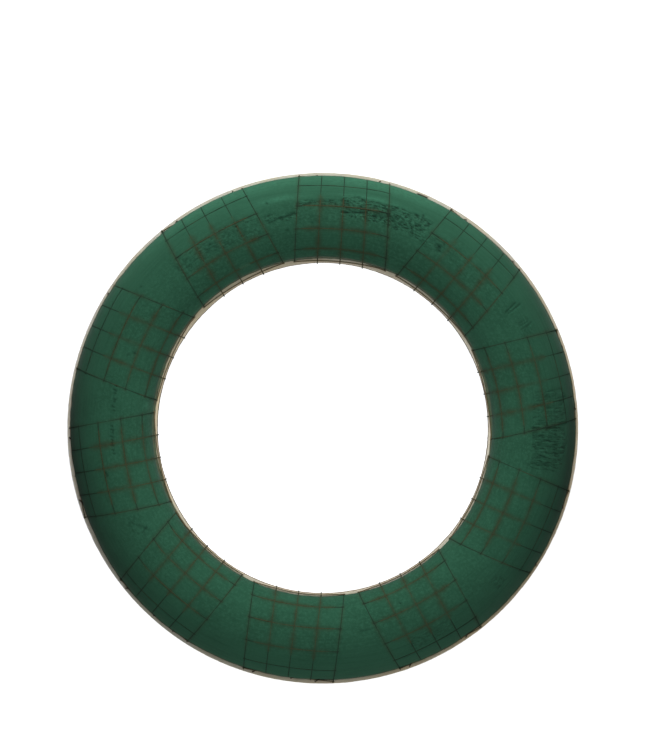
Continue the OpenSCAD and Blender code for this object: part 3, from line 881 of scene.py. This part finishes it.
def board(material):
    bevel = EDGE_BEVEL
    low = [(HOLE_R + bevel, 0), (BOARD_R - bevel, 0)]
    high = [(BOARD_R - bevel, BOARD_T), (HOLE_R + bevel, BOARD_T)]
    outer = [(BOARD_R - 0.15, bevel * 0.4), (BOARD_R, bevel)]
    outer += [(BOARD_R, BOARD_T * f) for f in (0.25, 0.45, 0.65, 0.85)]
    outer += [(BOARD_R, BOARD_T - bevel), (BOARD_R - 0.15, BOARD_T - bevel * 0.4)]
    inner = [(HOLE_R + 0.15, BOARD_T - bevel * 0.4), (HOLE_R, BOARD_T - bevel)]
    inner += [(HOLE_R, BOARD_T * f) for f in (0.85, 0.65, 0.45, 0.25)]
    inner += [(HOLE_R, bevel), (HOLE_R + 0.15, bevel * 0.4)]
    top = [(HOLE_R + f * (BOARD_R - HOLE_R), BOARD_T) for f in TOP_RINGS]
    profile = low + outer + high[:1] + top + high[1:] + inner

    def ragged(n, turn, r, h):
        x, z = profile[n]
        outside = x > (BOARD_R + HOLE_R) / 2
        side = -1 if outside else 1
        if 0 < z < BOARD_T:
            wear = 0.16 * (1 + ring_noise(turn, np.full_like(turn, z / BOARD_T), 700, 5, 31 + outside))
            wear = wear + 0.1 * (1 + ring_noise(turn, np.full_like(turn, 0.5), 120, 1, 33 + outside))
            r = r + side * wear
        return r, h

    points, faces = lathe(profile, BOARD_ROUND, (0, 0), ragged)
    obj = piece("board_ring", points, faces, material, 40)
    cut(obj, groove_boxes())
    corners = np.empty(len(obj.data.vertices) * 3)
    obj.data.vertices.foreach_get("co", corners)
    p = corners.reshape(-1, 3) / MM
    r = np.hypot(p[:, 0], p[:, 1])
    ring = np.hypot(p[:, 0] - GLUE_CENTRE[0], p[:, 1] - GLUE_CENTRE[1])
    turn = np.arctan2(p[:, 1], p[:, 0]) / (2 * pi)
    run = np.where(ring > RIDGE_R, bead_run(turn, True), bead_run(turn, False))
    gap = np.abs(ring - RIDGE_R) - FOAM_HALF - GLUE_SQUEEZE - run
    # Painted shade: the board's top darkens towards the foam's foot, most on the outer rim
    foot_shade = np.exp(-np.maximum(gap, 0) / 1.2) * (p[:, 2] > BOARD_T - 0.1)
    middle = np.full_like(turn, 0.5)
    foot_shade = foot_shade * np.where(r > RIDGE_R, 1, 0.4) * (0.25 + 0.25 * ring_noise(turn, middle, 180, 1, 41))
    add_values(obj, "foot_shade", np.clip(foot_shade, 0, 1))
    clockwise = np.pi / 2 - 2 * np.pi * turn
    outer_age = 0.15 + 0.75 * np.maximum(np.cos(clockwise - radians(125)), 0)
    inner_age = 0.3 + 0.5 * np.maximum(np.cos(clockwise - radians(290)), 0)
    aged = np.where(r > RIDGE_R, outer_age, inner_age) + 0.2 * ring_noise(turn, middle, 70, 1, 42)
    along = np.abs(from_angle(np.degrees(clockwise), MISSED_AT)) * radians(1) * r
    torn = smooth((MISSED_W / 2 + 0.5 - along) / 0.8)
    torn = torn * smooth((1.5 - np.abs(r - BOARD_R + STAPLE_KEEP)) / 0.8)
    add_values(obj, "aged", np.clip(aged, 0, 1))
    add_values(obj, "torn", np.clip(torn, 0, 1) * (p[:, 2] > BOARD_T - 0.1))
    add_values(obj, "wall", 0.85 * (p[:, 2] < BOARD_T - 0.4))
    dress(obj, "fibreboard", "backing_board")
    return obj


def box_mesh(k, x0, x1, y0, y1, z0, z1):
    corners = [[x, y, z] for x in (x0, x1) for y in (y0, y1) for z in (z0, z1)]
    faces = [[0, 1, 3, 2], [4, 6, 7, 5], [0, 4, 5, 1], [2, 3, 7, 6], [0, 2, 6, 4], [1, 5, 7, 3]]
    return to_world(k, corners), faces


def groove_boxes():
    """Grooves in the board's back that the tails lie in, each open to the hole."""
    parts = []
    tail_z = STAPLE_T + GROOVE_GAP + WIRE_R
    half = WIRE_R + GROOVE_GAP
    for k in range(PATCHES):
        for j in range(1, LONG_WIRES - 1):
            y = lateral(k, j)
            x = inner_x(k, y)
            end = x + TAIL_LEN + GROOVE_END
            parts.append(box_mesh(k, x - 2, end, y - half, y + half, -1, tail_z + half))
    return parts


def cut(obj, parts):
    """Takes the parts, as one mesh, out of an object."""
    tool = piece("cutter", *joined(parts), obj.data.materials[0], 30)
    modifier = obj.modifiers.new("cut", "BOOLEAN")
    modifier.operation = "DIFFERENCE"
    modifier.solver = "EXACT"
    modifier.object = tool
    depsgraph = bpy.context.evaluated_depsgraph_get()
    mesh = bpy.data.meshes.new_from_object(obj.evaluated_get(depsgraph))
    obj.modifiers.clear()
    mesh.set_sharp_from_angle(angle=radians(30))
    obj.data = mesh
    bpy.data.objects.remove(tool)


def glue(material):
    w = FOAM_HALF + GLUE_SQUEEZE
    profile = [(RIDGE_R - w, BOARD_T), (RIDGE_R + w, BOARD_T), (RIDGE_R + w, BOARD_T + 0.4),
               (RIDGE_R + w - 0.5, BOARD_T + GLUE_T), (RIDGE_R - w + 0.5, BOARD_T + GLUE_T),
               (RIDGE_R - w, BOARD_T + 0.4)]

    def beaded(n, turn, r, h):
        outside = profile[n][0] > RIDGE_R
        return (r + bead_run(turn, True), h) if outside else (r - bead_run(turn, False), h)

    points, faces = lathe(profile, BOARD_ROUND, GLUE_CENTRE, beaded)
    obj = piece("glue_bead", points, faces, material, 50)
    dress(obj, "glue", "glue_layer")
    return obj


def staple_mesh(leg, width=STAPLE_W):
    """A U of flat wire with rounded corners, crown along x with its underside at z = 0, legs down."""
    bend = 0.55
    half = width / 2 - STAPLE_T / 2
    mid = STAPLE_T / 2
    arc = np.radians(np.linspace(90, 0, 5))
    right = [(half - bend + bend * cos(a), mid - bend + bend * sin(a)) for a in arc]
    line = [(-x, z) for x, z in [(half, -leg)] + right[::-1]] + right + [(half, -leg)]
    line = np.array(line)
    step = np.gradient(line, axis=0)
    along = step / np.linalg.norm(step, axis=1, keepdims=True)
    across = np.stack([-along[:, 1], along[:, 0]], axis=1)
    a, b, c = STAPLE_WIRE / 2, STAPLE_T / 2, STAPLE_EASE
    section = [(-a + c, -b), (a - c, -b), (a, -b + c), (a, b - c)]
    section += [(-u, -v) for u, v in section]
    points = [[p[0] + n[0] * v, u, p[1] + n[1] * v] for p, n in zip(line, across) for u, v in section]
    m = len(section)
    faces = [[i * m + q, i * m + (q + 1) % m, (i + 1) * m + (q + 1) % m, (i + 1) * m + q]
             for i in range(len(line) - 1) for q in range(m)]
    faces.append(list(range(m))[::-1])
    faces.append([(len(line) - 1) * m + q for q in range(m)])
    return np.array(points), faces


def turned(points, degrees_round, shift, flip=False):
    p = np.array(points)
    if flip:
        p = p * [1, -1, -1]
    a = radians(degrees_round)
    x = p[:, 0] * cos(a) - p[:, 1] * sin(a)
    y = p[:, 0] * sin(a) + p[:, 1] * cos(a)
    return np.stack([x, y, p[:, 2]], axis=1) + shift


def front_staples(material):
    crown_z = ARC_Z + 2 * WIRE_R
    points, faces = staple_mesh(crown_z - BOARD_T + LEG_DEPTH)
    parts = []
    for k in range(PATCHES):
        for f in FRONT_STAPLES:
            y = lateral(k, f * (LONG_WIRES - 1))
            x = min(outer_x(k, f), on_board_circle(k, BOARD_R - STAPLE_KEEP, y))
            parts.append((to_world(k, turned(points, -FRONT_SLANT, [x, y, crown_z])), faces))
    points, faces = staple_mesh(LEG_DEPTH, MISSED_W)
    missed = turned(points, 0, [0, BOARD_R - STAPLE_KEEP, BOARD_T])
    parts.append((turned(missed, -MISSED_AT, [0, 0, 0]), faces))
    obj = piece("rim_staples", *joined(parts), material, 35)
    dress(obj, "staple_wire", "staples_front")
    return obj


def back_staples(material):
    points, faces = staple_mesh(LEG_DEPTH)
    parts = []
    for k in range(PATCHES):
        for j in range(1, LONG_WIRES - 1):
            y = lateral(k, j)
            placed = turned(points, 90, [inner_x(k, y) + BACK_STAPLE_IN, y, STAPLE_T], flip=True)
            parts.append((to_world(k, placed), faces))
    obj = piece("tail_staples", *joined(parts), material, 35)
    dress(obj, "staple_wire", "staples_back")
    return obj


wire = wire_material()
steel = staple_material()
foam_ring(foam_material())
for k in range(PATCHES):
    mesh_patch(k, wire)
board(board_material())
glue(glue_material())
front_staples(steel)
back_staples(steel)

# ---- floor, light and camera ---------------------------------------------------------------------

def floor():
    sh = Shader("floor_white", roughness=0.9, specular=0.0)
    sh.colour((0.8, 0.8, 0.8, 1))
    sh.surface.inputs["Emission Color"].default_value = (1, 1, 1, 1)
    sh.surface.inputs["Emission Strength"].default_value = 0.93
    bpy.ops.mesh.primitive_plane_add(size=30, location=(0, 0, -0.0005))
    obj = bpy.context.active_object
    obj.name = "floor"
    obj.data.materials.append(sh.material)
    obj.visible_diffuse = False
    obj.visible_glossy = False


def area_light(name, place, target, size, power, colour=(1, 1, 1)):
    lamp = bpy.data.lights.new(name, "AREA")
    lamp.shape = "DISK"
    lamp.size = size
    lamp.energy = power
    lamp.color = colour
    obj = bpy.data.objects.new(name, lamp)
    obj.location = place
    obj.rotation_euler = (Vector(target) - Vector(place)).to_track_quat("-Z", "Y").to_euler()
    bpy.context.scene.collection.objects.link(obj)


# Name, place in metres, diameter in metres, watts
LIGHTS = [
    ("above_front", (0.0, 1.7, 2.0), 1.0, 6),
    ("above_mid", (0.0, 1.5, 0.75), 0.9, 17),
    ("above_low", (0.0, 1.5, 0.3), 0.6, 4.3),
    ("below_low", (0.0, -1.5, 0.25), 0.6, 4.2),
    ("below_mid", (0.0, -1.2, 0.65), 0.8, 1.8),
    ("right_mid", (2.4, 0.3, 1.0), 1.2, 3),
    ("middle", (0.0, 0.0, 0.35), 0.25, 0.35),
]
AMBIENT = 0.068

floor()
for name, place, size, power in LIGHTS:
    area_light(name, place, (0, 0, 0), size, power)

world = bpy.data.worlds.new("studio")
world.use_nodes = True
world.node_tree.nodes["Background"].inputs["Color"].default_value = (1, 1, 1, 1)
world.node_tree.nodes["Background"].inputs["Strength"].default_value = AMBIENT
scene = bpy.context.scene
scene.world = world
scene.view_settings.view_transform = "Standard"

CAMERA = Vector((0.0025, 0.0598, 2.010))
FRAME_HEIGHT = 0.843        # height of the picture at the board's front, in metres
eye = bpy.data.cameras.new("camera")
eye.sensor_width = 36
eye.lens = 36 * (CAMERA.z - BOARD_T * MM) / FRAME_HEIGHT
camera = bpy.data.objects.new("camera", eye)
camera.location = CAMERA
scene.collection.objects.link(camera)
scene.camera = camera
